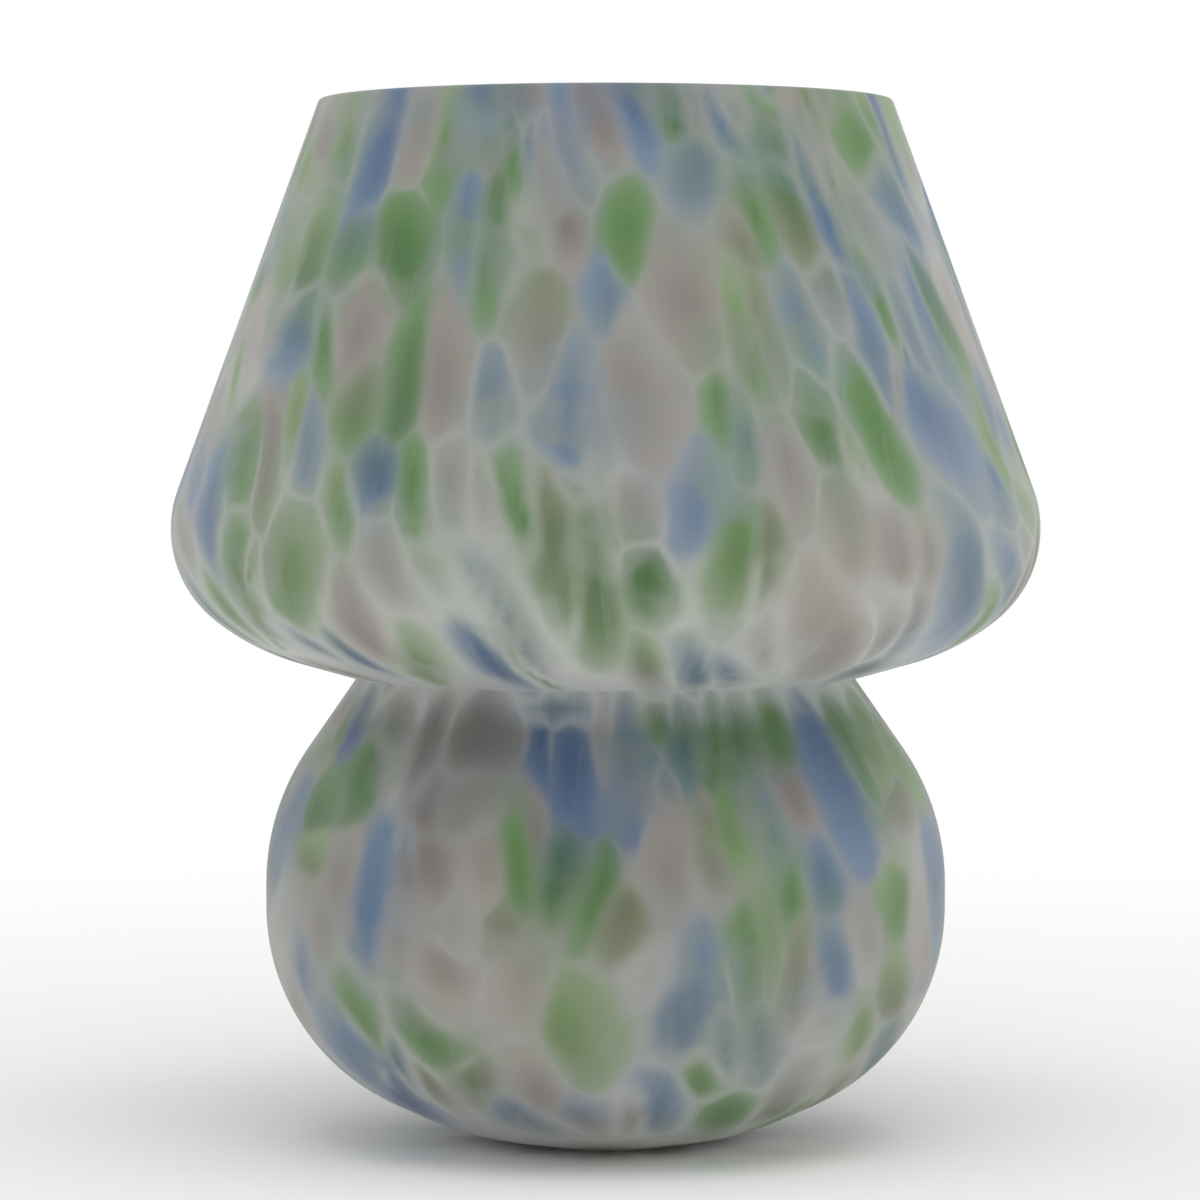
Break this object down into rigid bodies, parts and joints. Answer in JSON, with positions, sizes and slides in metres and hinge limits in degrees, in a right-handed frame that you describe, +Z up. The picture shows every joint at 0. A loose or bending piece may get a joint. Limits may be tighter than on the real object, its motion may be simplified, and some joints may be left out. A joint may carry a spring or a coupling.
{
  "type": "mushroom table lamp",
  "caption": "Blown satin-glass mushroom lamp: one wall makes shade, neck and base, with a screw-in globe bulb on a clamped stem.",
  "frame": {"origin": "centre of the foot ring's underside, on the lamp's axis and on the table", "axes": "+Z up along the lamp's axis, -Y towards the viewer, +Y towards the cable hole"},
  "size_m": [0.2, 0.2, 0.2398],
  "materials": {
    "frosted_glass": "acid-matt blown glass with flecks of green, blue and grey",
    "clear_silicone": "translucent, matt",
    "white_rubber": "matt",
    "zinc_steel": "bright zinc plate",
    "white_paint": "satin powder coat",
    "white_plastic": "moulded, fine matt",
    "core_ceramic": "smooth, off white",
    "brass": "bright sheet",
    "nickel": "bright plated sheet",
    "black_insulation": "vitreous, glossy",
    "opal": "opal, satin"
  },
  "bodies": {
    "lamp": {"glass_body": "frosted_glass", "foot_ring": "clear_silicone", "cable_grommet": "white_rubber", "lower_gasket": "clear_silicone", "upper_gasket": "clear_silicone", "clamp_washer": "zinc_steel", "clamp_nut": "zinc_steel", "lower_nipple": "zinc_steel", "seat_plate": "white_paint", "tooth_washer": "zinc_steel", "stem_tube": "white_paint", "stem_bush": "white_plastic", "upper_nipple": "zinc_steel", "holder_cap": "white_plastic", "lock_screw": "zinc_steel", "holder_core": "core_ceramic", "side_contact": "brass", "centre_contact": "brass", "terminal_screws": "zinc_steel", "screw_shell": "brass", "holder_sleeve": "white_plastic"},
    "bulb_rise": {"bulb_eyelet": "nickel"},
    "bulb": {"bulb_insulator": "black_insulation", "bulb_cap": "nickel", "bulb_housing": "white_plastic", "led_board": "nickel", "bulb_globe": "opal"}
  },
  "joints": [
    {"name": "bulb_lift", "type": "slide", "parent": "lamp", "child": "bulb_rise", "axis": [0, 0, 1], "range_m": [0, 0.0113]},
    {"name": "bulb_unscrew", "type": "hinge", "parent": "bulb_rise", "child": "bulb", "pos_m": [0, 0, 0.0777], "axis": [0, 0, 1], "range_deg": [0, 1440]}
  ],
  "couplings": [
    {"joint": "bulb_lift", "follows": "bulb_unscrew", "m_per_rad": 0.00044882}
  ]
}
